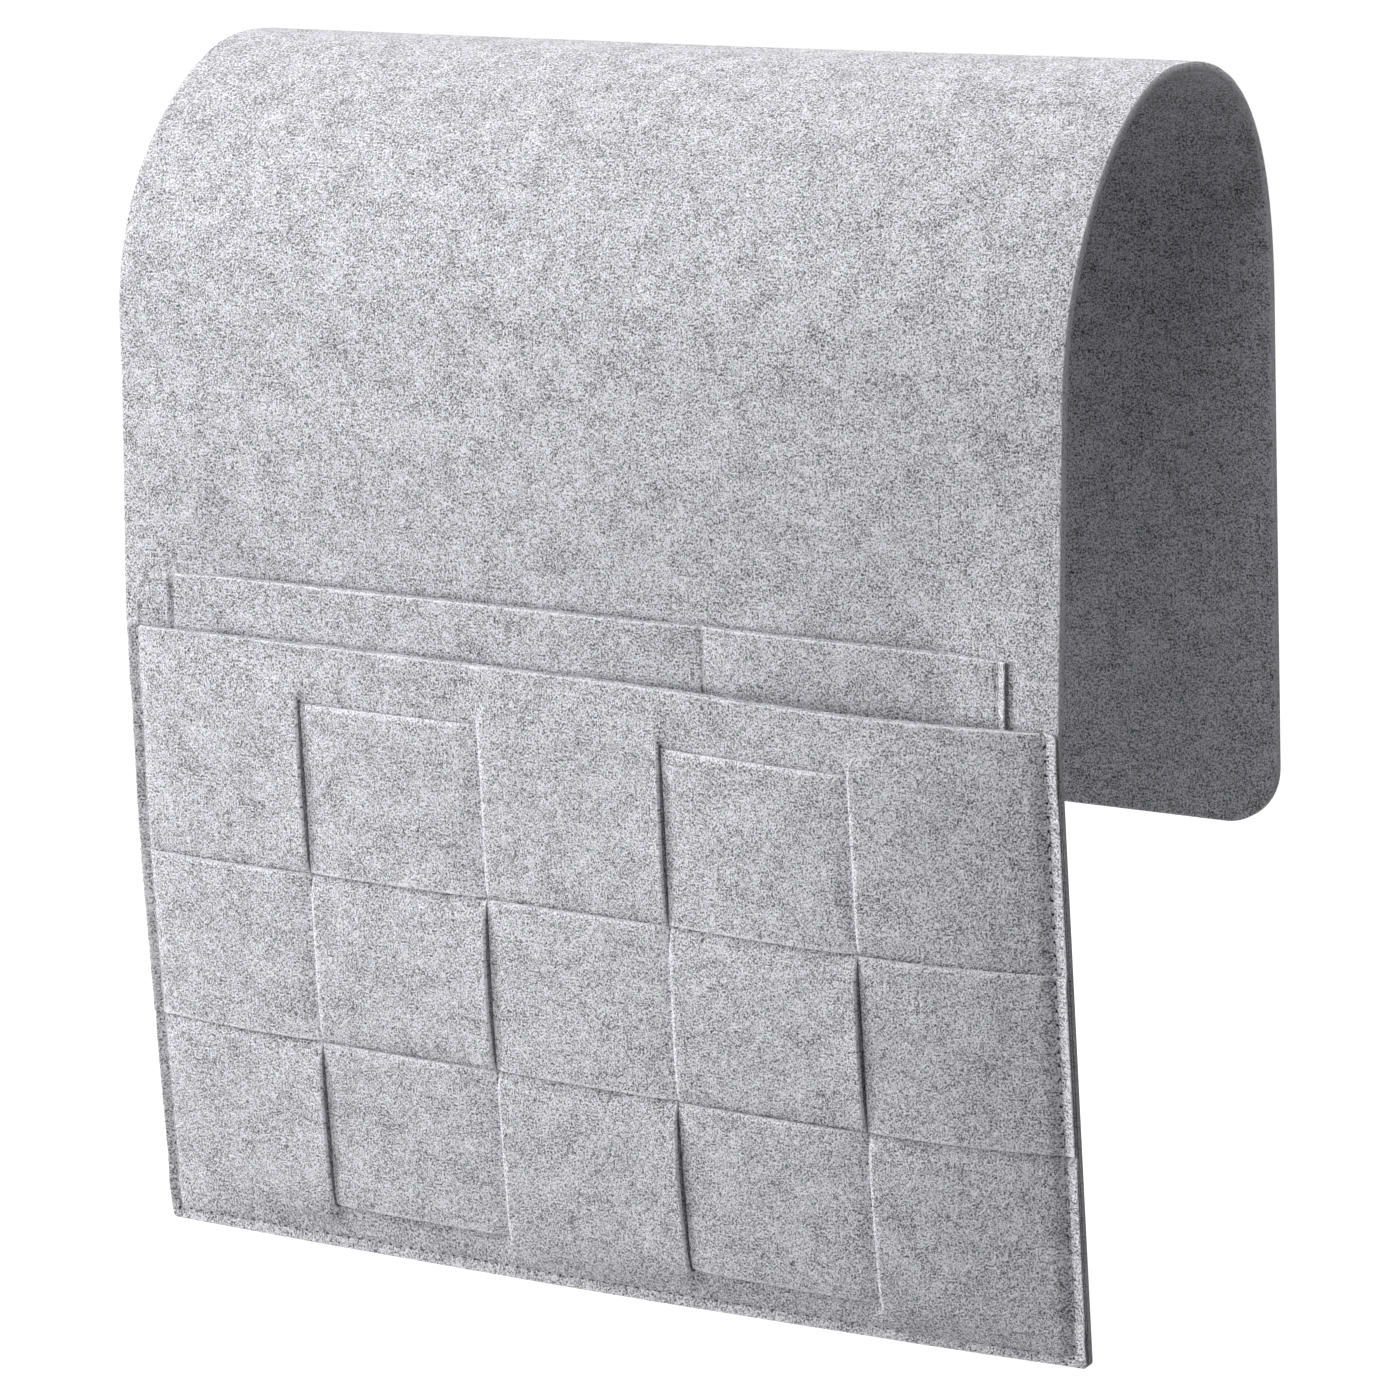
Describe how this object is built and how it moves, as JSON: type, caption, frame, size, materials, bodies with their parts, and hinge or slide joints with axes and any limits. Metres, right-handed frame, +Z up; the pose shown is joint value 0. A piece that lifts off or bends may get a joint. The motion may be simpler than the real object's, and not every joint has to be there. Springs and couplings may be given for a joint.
{
  "type": "bedside caddy",
  "caption": "Felt caddy that drapes over an armrest or bed rail: a short back flap, a divided inner pocket and an outer pocket with a slit panel woven with felt strips.",
  "frame": {"origin": "inner apex of the arch, where the caddy sits on the armrest, in the middle of its width", "axes": "+Z up, X across the width, the pockets face -Y and the back flap hangs towards +Y"},
  "size_m": [0.32, 0.1392, 0.3505],
  "materials": {
    "felt": "light grey pressed felt, matte, faintly mottled",
    "thread": "grey sewing thread, matte"
  },
  "bodies": {
    "saddle": {"sheet_saddle": "felt"},
    "front_flap": {"sheet_front_flap": "felt", "inner_pocket_panel": "felt", "outer_pocket_panel": "felt", "woven_strip_1": "felt", "woven_strip_2": "felt", "woven_strip_3": "felt", "outer_seam_needle_thread": "thread", "outer_seam_bobbin_thread": "thread", "inner_seam_needle_thread": "thread", "inner_seam_bobbin_thread": "thread", "divider_seam_needle_thread": "thread", "divider_seam_bobbin_thread": "thread"},
    "back_flap": {"sheet_back_flap": "felt"}
  },
  "joints": [
    {"name": "front_flap_fold", "type": "hinge", "parent": "saddle", "child": "front_flap", "pos_m": [0, -0.0683, -0.0746], "axis": [1, 0, 0], "range_deg": [-90, 15], "stiffness_Nm_per_rad": 0.04, "springref_deg": -16.87},
    {"name": "back_flap_fold", "type": "hinge", "parent": "saddle", "child": "back_flap", "pos_m": [0, 0.0525, -0.072], "axis": [1, 0, 0], "range_deg": [-15, 90], "stiffness_Nm_per_rad": 0.04, "springref_deg": -2.58}
  ]
}
